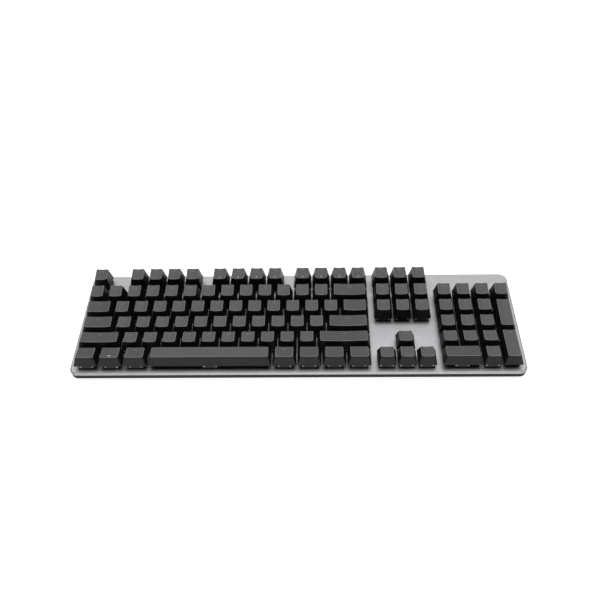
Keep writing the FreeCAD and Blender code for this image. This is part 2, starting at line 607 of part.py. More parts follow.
def build():
    """{node: its solids, standing at rest}."""
    flat = key_nodes()
    per_switch = {"switch_bases": [switch_base()], "switch_tops": [switch_top()],
                  "switch_springs": [switch_spring()], "switch_contacts": switch_contacts(),
                  "backlight_leds": [backlight_led()]}
    for node, pieces in per_switch.items():
        flat[node] = [at(piece, key.x, key.y) for key in KEYS for piece in pieces]
    flat["stabiliser_housings"], flat["stabiliser_wires"] = [], []
    for key in [k for k in KEYS if k.reach]:
        stems, turned = key.stems(), key.depth > UNIT
        housing = stabiliser_housing(turned)
        flat["stabiliser_housings"] += [at(housing, x, y) for x, y in (stems[0], stems[-1])]
        flat["stabiliser_wires"].append(at(stabiliser_wire(key.reach, turned), key.x, key.y))
    flat["top_plate"] = [top_plate()]
    flat["circuit_board"] = [circuit_board()]
    flat["controller_chip"] = [controller_chip()]
    flat["usb_socket"] = [usb_socket()]
    flat["case_screws"] = case_screws()
    standing = {node: [to_rest(piece) for piece in pieces] for node, pieces in flat.items()}
    standing["bottom_case"] = [bottom_case()]
    standing["rubber_pads"] = rubber_pads()
    standing["tilt_foot_left"] = [tilt_foot(-1)]
    standing["tilt_foot_right"] = [tilt_foot(1)]
    return standing


def export(nodes):
    os.makedirs("parts", exist_ok=True)
    for node, pieces in sorted(nodes.items()):
        solids = [solid for piece in pieces for solid in piece.Solids]
        Part.makeCompound(solids).exportStep(f"parts/{node}.step")
    print(len(nodes), "nodes,", sum(len(p) for p in nodes.values()), "pieces")


if __name__ == "__main__":
    export(build())
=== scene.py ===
"""The looks of a full-size mechanical keyboard: caps with legends, sliders, springs, clips and finishes.

The caps are built flat in the plate's own frame, in millimetres: X to the right from the middle, Y to the
back from the front edge of the front row, Z up from the plate's top face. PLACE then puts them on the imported
model's sloping plate.
"""
import bpy
import json
import math
from mathutils import Matrix, Vector


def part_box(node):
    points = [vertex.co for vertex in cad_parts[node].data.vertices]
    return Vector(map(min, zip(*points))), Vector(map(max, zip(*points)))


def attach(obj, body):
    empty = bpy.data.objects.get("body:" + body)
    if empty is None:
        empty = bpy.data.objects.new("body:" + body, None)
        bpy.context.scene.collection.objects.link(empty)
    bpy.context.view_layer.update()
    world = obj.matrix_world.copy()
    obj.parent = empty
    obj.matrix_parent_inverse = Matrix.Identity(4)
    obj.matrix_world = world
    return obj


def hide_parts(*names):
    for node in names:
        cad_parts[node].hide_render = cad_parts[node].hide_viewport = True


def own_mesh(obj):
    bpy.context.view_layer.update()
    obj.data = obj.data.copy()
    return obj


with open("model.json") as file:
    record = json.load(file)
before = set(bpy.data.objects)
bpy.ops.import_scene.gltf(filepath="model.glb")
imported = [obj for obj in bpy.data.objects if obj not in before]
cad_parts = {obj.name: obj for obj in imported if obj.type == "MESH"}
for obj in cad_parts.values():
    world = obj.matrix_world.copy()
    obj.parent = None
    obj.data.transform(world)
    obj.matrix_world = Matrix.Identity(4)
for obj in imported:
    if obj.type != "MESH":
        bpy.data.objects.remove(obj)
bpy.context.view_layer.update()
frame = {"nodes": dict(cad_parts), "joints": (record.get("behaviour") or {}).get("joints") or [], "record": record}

MM = 0.001
UNIT = 19.05  # from one key to the next
BOARD_UNITS = 22.5  # width of the key field
FUNCTION_GAP = 3.6  # extra space in front of the function row
FRONT_MARGIN, BACK_MARGIN = 4.4, 5.7  # plate past the key field
CHAMFER_IN, CHAMFER_DOWN = 1.5, 0.75  # along the plate's top face and down its edge
FIELD_X = BOARD_UNITS * UNIT / 2
FIELD_Y = 6 * UNIT + FUNCTION_GAP
BOARD_TOP = -5.0  # circuit board's upper face
SWITCH_TOP = 6.6

# sliders and stabiliser stems: widths and depths are half ones
SLIDER_LOW, SLIDER_HIGH = 1.4, SWITCH_TOP - 0.1
SLIDER_WIDTH, SLIDER_DEPTH, SLIDER_CHAMFER = 3.5, 2.8, 0.4
WING_WIDTH, WING_DEPTH, WING_HIGH, WING_CHAMFER = 4.1, 2.0, 5.3, 0.2
POLE_R, POLE_LOW, POLE_HIGH = 1.3, -2.9, 1.5
STAB_NARROW, STAB_WIDE, STAB_LOW, STAB_CHAMFER = 2.1, 2.8, -0.6, 0.3
CROSS_LONG, CROSS_THIN, CROSS_CHAMFER = 2.05, 0.6, 0.15
CROSS_LOW, CROSS_HIGH = SWITCH_TOP - 0.2, SWITCH_TOP + 3.5
STAB_REACH_SHORT, STAB_REACH_SPACE = 11.9, 50.0  # stabiliser stems from the switch

SPRING_R, SPRING_WIRE_R, SPRING_TURNS, SPRING_STEPS, SPRING_SIDES = 1.8, 0.14, 6, 10, 5
SPRING_LOW, SPRING_HIGH = BOARD_TOP + 1.15, SLIDER_LOW - 0.15

CLIP_X, CLIP_Y = 5.6, 6.3  # ends of a switch top's clips, from its middle
CLIP_HALF_WIDTH, CLIP_OUTWARD, CLIP_INWARD = 0.85, 0.62, 0.1
CLIP_LOW, CLIP_SHOULDER, CLIP_HIGH, CLIP_TAPER = 1.85, 2.8, 3.2, 0.8

# caps
CAP_BASE, CAP_GAP = 5.8, 0.5  # lower edge above the plate, and cap inside its cell on each side
TOP_INSET_SIDE, TOP_INSET_FRONT, TOP_INSET_BACK = 2.9, 4.1, 1.15  # top face inside the base
DISH, SHALLOW_DISH, CROWN = 0.85, 0.4, 0.35
DISH_LIMIT = 1.4  # how far the dish goes on rising past the top's edge, in its own depths
BASE_CORNER, TOP_CORNER, LEAST_CORNER = 0.8, 1.4, 0.4
BASE_BEVEL = 0.25
EDGE_ROUND = 0.42
EDGE_ROUND_SHARE = EDGE_ROUND / 8  # of the side's height
WALL, ROOF = 1.2, 2.0
POST_R, POST_LOW, POST_ROOF = 2.7, SWITCH_TOP + 0.1, 1.4
LONG_KEY = 1.2  # units: the painted light on the tops of wider keys is a little darker

# legends
LETTER_SIZE, WORD_SIZE, LONG_WORD_SIZE = 3.6, 3.0, 2.4
INK_RISE = 0.03
LEGEND_FROM_BACK, MARK_FROM_FRONT = 3.2, 2.2
SPACE_MARK_FROM_BACK, SPACE_MARK = 1.6, (2.2, 0.3)  # half sizes, and below
SMALL_MARK, LARGE_MARK = (0.7, 0.4), (1.3, 0.6)

# ---- rows from the front: name, distance back in units, top face height at front and back, keys ----
# A key is name:width:legend, "-" is a gap, and ^ marks a key two rows deep whose front half is in this row.
ROWS = [
    ("bottom", 0, 15.4, 13.8, [
        "left_control:1.25:Ctrl", "left_meta:1.25:<>", "left_alt:1.25:Alt", "space:6.25:",
        "right_alt:1.25:Alt", "fn:1.25:Fn", "menu:1.25:=", "right_control:1.25:Ctrl", "-:.25", "left:1:<",
        "down:1:v", "right:1:>", "-:.25", "pad_0:2:0", "pad_point:1:.", "pad_enter^:1:Ent"]),
    ("shift", 1, 15.1, 14.0, [
        "left_shift:2.25:Shift", "z:1:Z", "x:1:X", "c:1:C", "v:1:V", "b:1:B", "n:1:N", "m:1:M",
        "comma:1:, <", "period:1:. >", "slash:1:/ ?", "right_shift:2.75:Shift", "-:1.25", "up:1:^",
        "-:1.25", "pad_1:1:1", "pad_2:1:2", "pad_3:1:3"]),
    ("home", 2, 14.7, 15.0, [
        "caps_lock:1.75:Caps", "a:1:A", "s:1:S", "d:1:D", "f:1:F", "g:1:G", "h:1:H", "j:1:J", "k:1:K",
        "l:1:L", "semicolon:1:; :", "apostrophe:1:' \"", "enter:2.25:Enter", "-:3.5", "pad_4:1:4",
        "pad_5:1:5", "pad_6:1:6", "pad_plus^:1:+"]),
    ("upper", 3, 15.6, 16.6, [
        "tab:1.5:Tab", "q:1:Q", "w:1:W", "e:1:E", "r:1:R", "t:1:T", "y:1:Y", "u:1:U", "i:1:I", "o:1:O",
        "p:1:P", "left_bracket:1:[ {", "right_bracket:1:] }", "backslash:1.5:\\ |", "-:.25",
        "delete:1:Del", "end:1:End", "page_down:1:PgDn", "-:.25", "pad_7:1:7", "pad_8:1:8", "pad_9:1:9"]),
    ("number", 4, 17.3, 19.2, [
        "grave:1:` ~", "1:1:1 !", "2:1:2 @", "3:1:3 #", "4:1:4 $", "5:1:5 %", "6:1:6 ^", "7:1:7 &",
        "8:1:8 *", "9:1:9 (", "0:1:0 )", "minus:1:- _", "equals:1:= +", "backspace:2:Back", "-:.25",
        "insert:1:Ins", "home:1:Home", "page_up:1:PgUp", "-:.25", "num_lock:1:Num", "divide:1:/",
        "multiply:1:*", "subtract:1:-"]),
    ("function", 5, 17.6, 19.8, [
        "escape:1:Esc", "-:1", "f1:1:F1", "f2:1:F2", "f3:1:F3", "f4:1:F4", "-:.5", "f5:1:F5", "f6:1:F6",
        "f7:1:F7", "f8:1:F8", "-:.5", "f9:1:F9", "f10:1:F10", "f11:1:F11", "f12:1:F12", "-:.25",
        "print:1:Prt", "scroll:1:Scr", "pause:1:Pse"]),
]
TALL_TOP = {"pad_enter": (15.4, 14.4), "pad_plus": (14.8, 15.8)}
STABILISED = ["space", "backspace", "enter", "left_shift", "right_shift", "pad_0", "pad_plus", "pad_enter"]
GROUPS = {
    "function_keys_1_to_4": "f1 f2 f3 f4",
    "function_keys_5_to_8": "f5 f6 f7 f8",
    "function_keys_9_to_12": "f9 f10 f11 f12",
    "number_row_keys": "grave 1 2 3 4 5 6 7 8 9 0 minus equals",
    "punctuation_keys": "left_bracket right_bracket backslash semicolon apostrophe comma period slash",
    "modifier_keys": "tab caps_lock left_control left_meta left_alt right_alt fn menu right_control",
    "navigation_keys": "print scroll pause insert home page_up delete end page_down",
    "arrow_keys": "left down right up",
    "keypad_keys": "num_lock divide multiply subtract pad_7 pad_8 pad_9 pad_4 pad_5 pad_6 pad_1 pad_2 pad_3"
                   " pad_point",
}
NODE_NAMES = {"space": "spacebar", "pad_0": "keypad_zero_key", "pad_plus": "keypad_plus_key",
              "pad_enter": "keypad_enter_key", "backspace": "backspace_key", "enter": "enter_key",
              "left_shift": "left_shift_key", "right_shift": "right_shift_key", "escape": "escape_key"}


# ---- the plate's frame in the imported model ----
def plate_placement():
    """From millimetres on the plate to the model's metres, from the plate's box and the way the keys move."""
    axis = next(j["axis"] for j in frame["joints"] if j["type"] == "slide")
    sin, cos = axis[1], -axis[2]
    low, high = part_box("top_plate")
    shift = low.y / MM + FRONT_MARGIN * cos - CHAMFER_DOWN * sin
    lift = high.z / MM - (FIELD_Y + BACK_MARGIN - CHAMFER_IN) * sin
    tilt = Matrix.Rotation(math.atan2(sin, cos), 4, "X")
    return Matrix.Scale(MM, 4) @ Matrix.Translation((0, shift, lift)) @ tilt


PLACE = plate_placement()


class Key:
    def __init__(self, name, row, x0, y0, width, depth, top, legend):
        self.name, self.row, self.legend = name, row, legend
        self.width, self.depth = width * UNIT, depth * UNIT
        self.x, self.y = x0 + self.width / 2, y0 + self.depth / 2
        self.top_front, self.top_back = top
        self.node = next((n for n, members in GROUPS.items() if name in members.split()), None)
        self.node = self.node or NODE_NAMES.get(name, f"key_{name}")
        self.reach = 0.0
        if name in STABILISED:
            self.reach = STAB_REACH_SPACE if name == "space" else STAB_REACH_SHORT
        self.half_x = self.width / 2 - CAP_GAP
        self.half_y = self.depth / 2 - CAP_GAP

    def stabilisers(self):
        """Where its stabiliser stems are."""
        along = (0, 1) if self.depth > UNIT else (1, 0)
        steps = (-self.reach, self.reach) if self.reach else ()
        return [(self.x + along[0] * s, self.y + along[1] * s) for s in steps]

    def top(self, x, y):
        """Height of the cap's top face at a point from its middle."""
        front, back = -self.half_y + TOP_INSET_FRONT, self.half_y - TOP_INSET_BACK
        share = (y - front) / (back - front)
        plane = self.top_front + (self.top_back - self.top_front) * share
        if self.name == "space":
            return plane + CROWN * (1 - (2 * share - 1) ** 2)
        across = x / (self.half_x - TOP_INSET_SIDE)
        dish = SHALLOW_DISH if self.row == "bottom" and self.width > UNIT else DISH
        return plane - dish * (1 - min(across**2, DISH_LIMIT))


def all_keys():
    keys = []
    for row, back, top_front, top_back, words in ROWS:
        x = -FIELD_X
        y = back * UNIT + (FUNCTION_GAP if row == "function" else 0)
        for word in words:
            name, width, legend = (word.split(":", 2) + [""])[:3]
            width = float(width)
            deep = name.endswith("^")
            name = name.rstrip("^")
            if name != "-":
                top = TALL_TOP.get(name, (top_front, top_back))
                keys.append(Key(name, row, x, y, width, 2 if deep else 1, top, legend))
            x += width * UNIT
    return keys


KEYS = all_keys()


def keys_on(node):
    return [k for k in KEYS if k.node == node]


# ---- materials ----
def shader(name):
    """A new material and its node tree, shader and object coordinates."""
    m = bpy.data.materials.new(name)
    m.use_nodes = True
    tree = m.node_tree
    return m, tree, tree.nodes["Principled BSDF"], tree.nodes.new("ShaderNodeTexCoord").outputs["Object"]


def noise(tree, where, size_mm, detail=2.0):
    """Noise whose features are about that many millimetres."""
    n = tree.nodes.new("ShaderNodeTexNoise")
    n.inputs["Scale"].default_value = 1 / (size_mm * MM)
    n.inputs["Detail"].default_value = detail
    tree.links.new(where, n.inputs["Vector"])
    return n.outputs["Fac"]


NOISE_LOW, NOISE_HIGH = 0.3, 0.7  # the part of a noise's range that its colours and gloss are spread over


def ramp(tree, value, low, high):
    """A colour between two, by a noise."""
    r = tree.nodes.new("ShaderNodeValToRGB")
    first, last = r.color_ramp.elements
    first.position, last.position = NOISE_LOW, NOISE_HIGH
    first.color, last.color = (*low, 1), (*high, 1)
    tree.links.new(value, r.inputs["Fac"])
    return r.outputs["Color"]


def spread(tree, value, low, high):
    """A number between two, by a noise."""
    r = tree.nodes.new("ShaderNodeMapRange")
    r.inputs["From Min"].default_value, r.inputs["From Max"].default_value = NOISE_LOW, NOISE_HIGH
    r.inputs["To Min"].default_value, r.inputs["To Max"].default_value = low, high
    tree.links.new(value, r.inputs["Value"])
    return r.outputs["Result"]


def bump(tree, bsdf, height, depth_mm):
    b = tree.nodes.new("ShaderNodeBump")
    b.inputs["Distance"].default_value = depth_mm * MM
    b.inputs["Strength"].default_value = 1.0
    tree.links.new(height, b.inputs["Height"])
    tree.links.new(b.outputs["Normal"], bsdf.inputs["Normal"])


def grey(value, tint=(1.0, 1.0, 1.0)):
    return tuple(value * t for t in tint)


def plastic(name, low, high, rough=(0.45, 0.6), grain_mm=0.25, depth_mm=0.012, patch_mm=14.0,
            tint=(1, 1, 1), specular=0.5):
    """Moulded plastic: fine grain, and slow changes of colour and gloss."""
    m, tree, bsdf, where = shader(name)
    bsdf.inputs["IOR"].default_value = 1.5
    bsdf.inputs["Specular IOR Level"].default_value = specular
    colour = ramp(tree, noise(tree, where, patch_mm, 4), grey(low, tint), grey(high, tint))
    tree.links.new(colour, bsdf.inputs["Base Color"])
    grain = noise(tree, where, grain_mm)
    tree.links.new(spread(tree, noise(tree, where, patch_mm / 2, 5), *rough), bsdf.inputs["Roughness"])
    bump(tree, bsdf, grain, depth_mm)
    return m


METAL_GRAIN_MM, METAL_GRAIN_DEPTH_MM = 0.15, 0.004


def metal(name, low, high, rough, tint=(1, 1, 1), stretch=None):
    """Bare metal: fine grain, slow changes of colour, and both drawn out if a stretch is given."""
    m, tree, bsdf, where = shader(name)
    bsdf.inputs["Metallic"].default_value = 1.0
    if stretch:
        mapping = tree.nodes.new("ShaderNodeMapping")
        mapping.inputs["Scale"].default_value = stretch
        tree.links.new(where, mapping.inputs["Vector"])
        where = mapping.outputs["Vector"]
    colour = ramp(tree, noise(tree, where, 9, 5), grey(low, tint), grey(high, tint))
    tree.links.new(colour, bsdf.inputs["Base Color"])
    grain = noise(tree, where, METAL_GRAIN_MM)
    tree.links.new(spread(tree, grain, *rough), bsdf.inputs["Roughness"])
    bump(tree, bsdf, grain, METAL_GRAIN_DEPTH_MM)
    return m


def chamfer_cut_and_highlight(m, flat_normal, cosine, highlight_albedo, rough):
    """Makes the faces at one angle to a flat one smoother, as a cutter leaves them, and brighter as a painted
    highlight.
    """
    tolerance = 0.04
    tree = m.node_tree
    bsdf = tree.nodes["Principled BSDF"]
    facing = tree.nodes.new("ShaderNodeVectorMath")
    facing.operation = "DOT_PRODUCT"
    facing.inputs[1].default_value = flat_normal
    tree.links.new(tree.nodes.new("ShaderNodeNewGeometry").outputs["True Normal"], facing.inputs[0])
    chamfer = tree.nodes.new("ShaderNodeMath")
    chamfer.operation = "COMPARE"
    chamfer.inputs[1].default_value, chamfer.inputs[2].default_value = cosine, tolerance
    tree.links.new(facing.outputs["Value"], chamfer.inputs[0])
    for name, value in (("Base Color", (*grey(highlight_albedo), 1)), ("Roughness", (*grey(rough), 1))):
        mix = tree.nodes.new("ShaderNodeMix")
        mix.data_type = "RGBA"
        plain, highlit_cut = [i for i in mix.inputs if i.type == "RGBA"]
        tree.links.new(chamfer.outputs["Value"], mix.inputs["Factor"])
        tree.links.new(bsdf.inputs[name].links[0].from_socket, plain)
        highlit_cut.default_value = value
        tree.links.new(next(o for o in mix.outputs if o.type == "RGBA"), bsdf.inputs[name])
    return m


# One black plastic in shaded and lit copies: the walls are painted darker as painted shade, the tops painted
# lighter as painted light from above.
CAP_PLASTIC_SHADED = plastic("cap_plastic", 0.005, 0.008, rough=(0.4, 0.5), grain_mm=0.22, depth_mm=0.01,
                      specular=0.36)
CAP_TOP_PAINTED_LIGHT = plastic("cap_top", 0.095, 0.119, rough=(0.5, 0.62), grain_mm=0.3, depth_mm=0.014, patch_mm=1.6)
CAP_TOP_LONG_PAINTED_LIGHT = plastic("cap_top_long_painted_light", 0.076, 0.09, rough=(0.5, 0.62), grain_mm=0.3, depth_mm=0.014)
# Painted highlight: the rounded edge round each cap's top is painted lighter and glossier than the cap.
CAP_RIM_HIGHLIGHT = plastic("cap_rim_painted_highlight", 0.21, 0.25, rough=(0.3, 0.4), grain_mm=0.4, depth_mm=0.004)
# Painted highlight: near white clip ends stand in for glints on the black switch housings.
LATCH_PAINTED_HIGHLIGHT = plastic("latch_painted_highlight", 0.8, 0.9, rough=(0.2, 0.3), grain_mm=0.5, depth_mm=0.003)
LEGEND_DIM = plastic("legend_ink", 0.19, 0.25, grain_mm=0.3, depth_mm=0.003)
LEGEND_BRIGHT = plastic("legend_bright", 0.6, 0.7, grain_mm=0.3, depth_mm=0.003)
FINISHES = {
    # The plate's chamfer is painted brighter than the rest of the plate as a painted highlight, and smoother as
    # cut.
    "satin_aluminium": chamfer_cut_and_highlight(metal("satin_aluminium", 0.5, 0.54, (0.5, 0.58), tint=(1, 1, 1.025)),
                                   PLACE.to_3x3() @ Vector((0, 0, 1 / MM)),
                                   CHAMFER_IN / math.hypot(CHAMFER_IN, CHAMFER_DOWN), 0.74, 0.4),
    "case_plastic": plastic("case_plastic", 0.008, 0.012, rough=(0.5, 0.6), grain_mm=0.35, depth_mm=0.02,
                            specular=0.2),
    "switch_plastic": plastic("switch_plastic", 0.006, 0.01, rough=(0.3, 0.4), grain_mm=0.5, depth_mm=0.004),
    "spring_steel": metal("spring_steel", 0.5, 0.6, (0.2, 0.35)),
    "contact_brass": metal("contact_brass", 0.6, 0.7, (0.25, 0.4), tint=(1, 0.8, 0.45)),
    "led_resin": plastic("led_resin", 0.6, 0.7, rough=(0.1, 0.2), depth_mm=0.002),
    "wire_steel": metal("wire_steel", 0.35, 0.45, (0.2, 0.3), stretch=(0.2, 1, 1)),
    "board_laminate": plastic("board_laminate", 0.008, 0.02, rough=(0.25, 0.4), tint=(0.5, 1, 0.6)),
    "chip_resin": plastic("chip_resin", 0.01, 0.014),
    "socket_steel": metal("socket_steel", 0.5, 0.6, (0.2, 0.3)),
    "screw_steel": metal("screw_steel", 0.06, 0.1, (0.3, 0.45)),
    "pad_rubber": plastic("pad_rubber", 0.01, 0.016, rough=(0.75, 0.9), grain_mm=0.4, depth_mm=0.03),
}


def finish_cad_nodes():
    slots = {s["node"]: s["material_slot"] for s in frame["record"]["subparts"]}
    for node, o in frame["nodes"].items():
        o.data.materials.clear()
        o.data.materials.append(FINISHES.get(slots[node], CAP_PLASTIC_SHADED))


# ---- mesh building ----
SHARP_DEGREES = 40
ROD_SIDES = 16


def piece(name, body, build, materials):
    """A mesh built on the plate, put in its place and riding on a body."""
    mesh = bpy.data.meshes.new(name)
    mesh.from_pydata(build.verts, [], build.faces)
    mesh.transform(PLACE)
    for m in materials:
        mesh.materials.append(m)
    mesh.polygons.foreach_set("material_index", build.kinds)
    mesh.update()
    mesh.shade_smooth()
    mesh.set_sharp_from_angle(angle=math.radians(SHARP_DEGREES))
    o = bpy.data.objects.new(name, mesh)
    bpy.context.scene.collection.objects.link(o)
    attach(o, body)
    return o


class Builder:
    """Gathers the vertices and faces of one mesh."""

    def __init__(self):
        self.verts, self.faces, self.kinds = [], [], []

    def ring(self, points):
        first = len(self.verts)
        self.verts += [tuple(p) for p in points]
        return list(range(first, first + len(points)))

    def face(self, corners, kind=0):
        self.faces.append(tuple(corners))
        self.kinds.append(kind)

    def bridge(self, a, b, kind=0):
        """Faces between two rings, the second above or outside the first."""
        n = len(a)
        for i in range(n):
            j = (i + 1) % n
            self.face((a[i], a[j], b[j], b[i]), kind)

    def prism(self, outline, z0, z1):
        """An upright solid with one outline at its foot and its head."""
        low = self.ring([(x, y, z0) for x, y in outline])
        high = self.ring([(x, y, z1) for x, y in outline])
        self.bridge(low, high)
        self.face(low[::-1])
        self.face(high)

    def block(self, x, y, half_x, half_y, z0, z1, chamfer):
        """A block about (x, y) whose upright edges are cut by a chamfer."""
        x0, x1, y0, y1, c = x - half_x, x + half_x, y - half_y, y + half_y, chamfer
        self.prism([(x0 + c, y0), (x1 - c, y0), (x1, y0 + c), (x1, y1 - c), (x1 - c, y1), (x0 + c, y1),
                    (x0, y1 - c), (x0, y0 + c)], z0, z1)

    def rod(self, x, y, r, z0, z1):
        angles = [math.tau * i / ROD_SIDES for i in range(ROD_SIDES)]
        self.prism([(x + r * math.cos(a), y + r * math.sin(a)) for a in angles], z0, z1)


# ---- caps ----
WALLS, TOP, RIM, DIM, BRIGHT = range(5)  # kinds of face on a cap
CORNER_STEPS = 3  # from the middle of a round corner to its end
STRAIGHT_STEP, FEWEST_STEPS = 3.2, 4  # along a side's straight part
CORNER_SHRINK = 0.6  # how much of an inset comes off a corner's radius


def straight_steps(length):
    return max(FEWEST_STEPS, round(length / STRAIGHT_STEP))


def side_points(half, other, r, steps):
    """One side of a rounded rectangle, from one corner's middle to the next one's, as (along, out)."""
    arc = [math.radians(45) * (1 - i / CORNER_STEPS) for i in range(CORNER_STEPS)]
    start = [(-half + r - r * math.sin(a), other - r + r * math.cos(a)) for a in arc]
    middle = [(-half + r + (2 * half - 2 * r) * i / steps, other) for i in range(steps + 1)]
    return start + middle + [(-along, out) for along, out in start[::-1]]


def outline(key, front, back, half_x, r):
    """Points round a rounded rectangle, from the front left corner, and how many are on each side."""
    nx, ny = straight_steps(key.width), straight_steps(key.depth)
    half_y, mid = (back - front) / 2, (back + front) / 2
    across = side_points(half_x, half_y, r, nx)
    along = side_points(half_y, half_x, r, ny)
    points = [(a, mid - out) for a, out in across[:-1]]
    points += [(out, mid + a) for a, out in along[:-1]]
    points += [(-a, mid + out) for a, out in across[:-1]]
    points += [(-out, mid - a) for a, out in along[:-1]]
    return points, len(across) - 1, len(along) - 1


def level(key, share, inset=0.0):
    """The outline of the cap's side at a share of its height, inset by a wall."""
    x = key.half_x - TOP_INSET_SIDE * share - inset
    front = -key.half_y + TOP_INSET_FRONT * share + inset
    back = key.half_y - TOP_INSET_BACK * share - inset
    r = BASE_CORNER + (TOP_CORNER - BASE_CORNER) * share
    return outline(key, front, back, x, max(r - inset * CORNER_SHRINK, LEAST_CORNER))


def fill_grid(build, ring, nx, ny, height, flip=False, kind=0):
    """Quads inside a ring of four sides. height(x, y) gives each inner point's height."""
    n = len(ring)
    front, right = ring[:nx + 1], ring[nx:nx + ny + 1]
    back = [ring[(nx + ny + i) % n] for i in range(nx + 1)][::-1]
    left = [ring[(2 * nx + ny + i) % n] for i in range(ny + 1)][::-1]
    rows = [front]
    corner = [build.verts[i] for i in (front[0], front[-1], back[0], back[-1])]
    for j in range(1, ny):
        v = j / ny
        a, b = build.verts[left[j]], build.verts[right[j]]
        row = [left[j]]
        for i in range(1, nx):
            u = i / nx
            f, k = build.verts[front[i]], build.verts[back[i]]
            xy = [(1 - v) * f[c] + v * k[c] + (1 - u) * a[c] + u * b[c]
                  - (1 - u) * (1 - v) * corner[0][c] - u * (1 - v) * corner[1][c]
                  - (1 - u) * v * corner[2][c] - u * v * corner[3][c] for c in (0, 1)]
            row += build.ring([(xy[0], xy[1], height(*xy))])
        rows.append(row + [right[j]])
    rows.append(back)
    for low, high in zip(rows, rows[1:]):
        for i in range(nx):
            quad = (low[i], low[i + 1], high[i + 1], high[i])
            build.face(quad[::-1] if flip else quad, kind)


def cap_shell(build, key):
    """The cap's outside, its rounded rim and dished top, and the hollow under it."""
    edge, nx, ny = level(key, 1.0)
    top = [Vector((x, y, key.top(x, y))) for x, y in edge]
    inner_top = [Vector((x, y, key.top(x, y))) for x, y in level(key, 1.0, EDGE_ROUND)[0]]

    def side(share, inset=0.0, roof=0.0):
        """The side's outline at a share of its height, inset by a wall and lowered by a roof."""
        return [Vector((x, y, CAP_BASE + share * (t.z - roof - CAP_BASE)))
                for (x, y), t in zip(level(key, share, inset)[0], top)]

    foot = [p + Vector((0, 0, BASE_BEVEL)) for p in side(0)]
    rings = [side(0, BASE_BEVEL), foot, side(0.33), side(0.66)]
    first_rim = len(rings) + 1
    start = side(1 - EDGE_ROUND_SHARE)
    for t in (0, 0.25, 0.5, 0.75, 1):
        rings.append([(1 - t) ** 2 * a + 2 * t * (1 - t) * e + t**2 * c
                      for a, e, c in zip(start, top, inner_top)])
    rings = [build.ring(r) for r in rings]
    for i, (low, high) in enumerate(zip(rings, rings[1:])):
        build.bridge(low, high, WALLS if i < first_rim else RIM)
    fill_grid(build, rings[-1], nx, ny, key.top, kind=TOP)

    hollow = [side(0, WALL), side(0.5, WALL, ROOF), side(0.93, WALL, ROOF)]
    hollow = [build.ring(r) for r in hollow]
    build.bridge(hollow[0], rings[0])
    for low, high in zip(hollow, hollow[1:]):
        build.bridge(high, low)
    fill_grid(build, hollow[-1], nx, ny, lambda x, y: key.top(x, y) - ROOF, flip=True)


def cap_posts(build, key):
    """The posts inside the cap that the sliders press into."""
    for x, y in [(key.x, key.y), *key.stabilisers()]:
        build.rod(x - key.x, y - key.y, POST_R, POST_LOW, min(key.top_front, key.top_back) - POST_ROOF)


# ---- legends ----
def text_shape(text, size):
    """The flat outline of a few characters as vertices and faces, centred on its own middle."""
    curve = bpy.data.curves.new("legend", "FONT")
    curve.body, curve.size = text, size
    curve.resolution_u = 3
    curve.align_x, curve.align_y = "CENTER", "CENTER"
    o = bpy.data.objects.new("legend", curve)
    mesh = bpy.data.meshes.new_from_object(o)
    verts = [(v.co.x, v.co.y) for v in mesh.vertices]
    faces = [tuple(f.vertices) for f in mesh.polygons]
    bpy.data.objects.remove(o)
    bpy.data.curves.remove(curve)
    bpy.data.meshes.remove(mesh)
    return verts, faces


def add_flat(build, key, x, y, points, faces, kind):
    """Flat faces of ink about a point on the cap's top."""
    first = len(build.verts)
    for px, py in points:
        build.verts.append((x + px, y + py, key.top(x + px, y + py) + INK_RISE))
    for f in faces:
        build.face([first + i for i in f], kind)


def add_mark(build, key, y, half_sizes, kind):
    """A small flat oblong on the cap's middle line."""
    hx, hy = half_sizes
    add_flat(build, key, 0, y, [(-hx, -hy), (hx, -hy), (hx, hy), (-hx, hy)], [range(4)], kind)


BRIGHT_MARKS = {"f5", "f6", "f7", "f8", "f9", "f10", "f11", "f12", "left_meta"}


def legends(build, key):
    back = key.half_y - TOP_INSET_BACK
    front = -key.half_y + TOP_INSET_FRONT
    if key.name == "space":
        add_mark(build, key, back - SPACE_MARK_FROM_BACK, SPACE_MARK, DIM)
        return
    size = LETTER_SIZE if len(key.legend) == 1 else WORD_SIZE if len(key.legend) < 4 else LONG_WORD_SIZE
    if key.legend:
        add_flat(build, key, 0, back - LEGEND_FROM_BACK, *text_shape(key.legend, size), DIM)
    if key.name in BRIGHT_MARKS:
        half_sizes = LARGE_MARK if key.row == "bottom" else SMALL_MARK
        add_mark(build, key, front + MARK_FROM_FRONT, half_sizes, BRIGHT)


def cap(key):
    build = Builder()
    cap_shell(build, key)
    cap_posts(build, key)
    legends(build, key)
    build.verts = [(x + key.x, y + key.y, z) for x, y, z in build.verts]
    # The tops get painted light, the walls painted shade and the rim a painted highlight, all on one black
    # plastic.
    top = CAP_TOP_LONG_PAINTED_LIGHT if key.width > LONG_KEY * UNIT and key.name != "space" else CAP_TOP_PAINTED_LIGHT
    o = piece(f"cap_{key.name}", key.node, build, [CAP_PLASTIC_SHADED, top, CAP_RIM_HIGHLIGHT, LEGEND_DIM, LEGEND_BRIGHT])


# ---- the sliders under the caps, one piece for each body ----
def add_cross(build, x, y):
    """The cross that a cap presses onto."""
    for half_x, half_y in ((CROSS_LONG, CROSS_THIN), (CROSS_THIN, CROSS_LONG)):
        build.block(x, y, half_x, half_y, CROSS_LOW, CROSS_HIGH, CROSS_CHAMFER)


def add_slider(build, x, y):
    build.block(x, y, SLIDER_WIDTH, SLIDER_DEPTH, SLIDER_LOW, SLIDER_HIGH, SLIDER_CHAMFER)
    build.block(x, y, WING_WIDTH, WING_DEPTH, SLIDER_LOW, WING_HIGH, WING_CHAMFER)
    build.rod(x, y, POLE_R, POLE_LOW, POLE_HIGH)
    add_cross(build, x, y)


